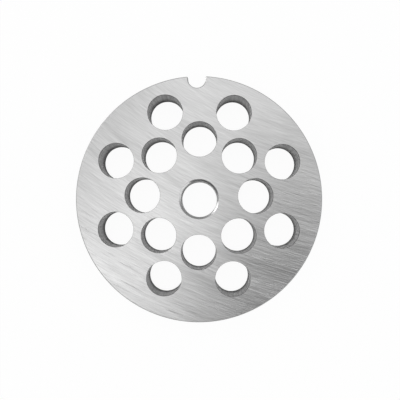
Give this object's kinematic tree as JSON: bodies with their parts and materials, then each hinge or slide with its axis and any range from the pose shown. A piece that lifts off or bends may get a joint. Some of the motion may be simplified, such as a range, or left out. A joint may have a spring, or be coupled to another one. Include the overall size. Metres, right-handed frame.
{
  "type": "meat grinder plate",
  "caption": "Flat round steel plate of a meat grinder, pierced all over by round holes, with a central bore and a locating notch in the rim; meat is cut against it.",
  "frame": {"origin": "on the bore's axis, in the face that the plate lies on", "axes": "+Z along the bore's axis, out of the upper face; +Y from the bore out through the middle of the rim notch"},
  "size_m": [0.07, 0.0699, 0.007],
  "materials": {
    "ground_steel": "flat faces ground, with fine scratches in wide arcs; rim turned, bore reamed and meat holes drilled"
  },
  "bodies": {
    "root": {"grinder_plate": "ground_steel"}
  },
  "joints": []
}
